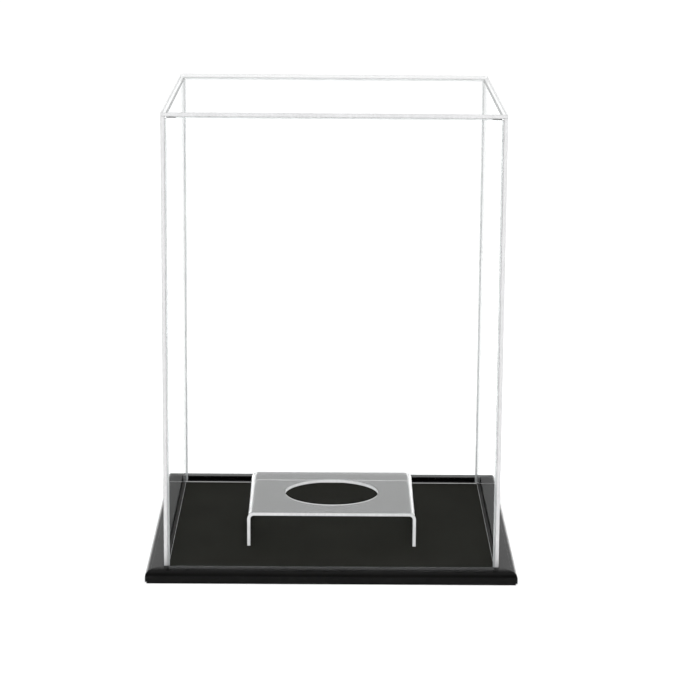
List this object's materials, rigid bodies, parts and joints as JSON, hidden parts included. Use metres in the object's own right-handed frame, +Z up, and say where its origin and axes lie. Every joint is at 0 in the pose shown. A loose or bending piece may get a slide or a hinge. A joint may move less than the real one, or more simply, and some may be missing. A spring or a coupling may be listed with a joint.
{
  "type": "football display case",
  "caption": "Clear five-sided cover standing in the recess of a black framed base, over a bent clear riser with a round hole that seats a rugby ball on end.",
  "frame": {"origin": "on the ground under the middle of the case, at the bottom of the feet", "axes": "+Z up along the case's height, -Y towards the front, +X to the viewer's right"},
  "size_m": [0.31, 0.31, 0.3915],
  "materials": {
    "moulding_black": "black satin lacquer on wood moulding",
    "floor_black": "matt black faced card",
    "hardboard": "bare brown hardboard",
    "zinc": "zinc plated",
    "rubber_feet": "matt black rubber",
    "clear_acrylic": "clear cast acrylic with polished edges"
  },
  "bodies": {
    "base": {"base_board": "hardboard", "floor_panel": "floor_black", "rim_front": "moulding_black", "rim_right": "moulding_black", "rim_back": "moulding_black", "rim_left": "moulding_black", "board_screw_front_a": "zinc", "board_screw_front_b": "zinc", "board_screw_right_a": "zinc", "board_screw_right_b": "zinc", "board_screw_back_a": "zinc", "board_screw_back_b": "zinc", "board_screw_left_a": "zinc", "board_screw_left_b": "zinc", "foot_front_left": "rubber_feet", "foot_front_right": "rubber_feet", "foot_back_right": "rubber_feet", "foot_back_left": "rubber_feet"},
    "cover": {"cover_left": "clear_acrylic", "cover_right": "clear_acrylic", "cover_front": "clear_acrylic", "cover_back": "clear_acrylic", "cover_top": "clear_acrylic"},
    "riser": {"riser": "clear_acrylic"}
  },
  "joints": [
    {"name": "cover_lift", "type": "slide", "parent": "base", "child": "cover", "axis": [0, 0, 1], "range_m": [0, 0.42]},
    {"name": "riser_lift", "type": "slide", "parent": "base", "child": "riser", "axis": [0, 0, 1], "range_m": [0, 0.25]}
  ]
}
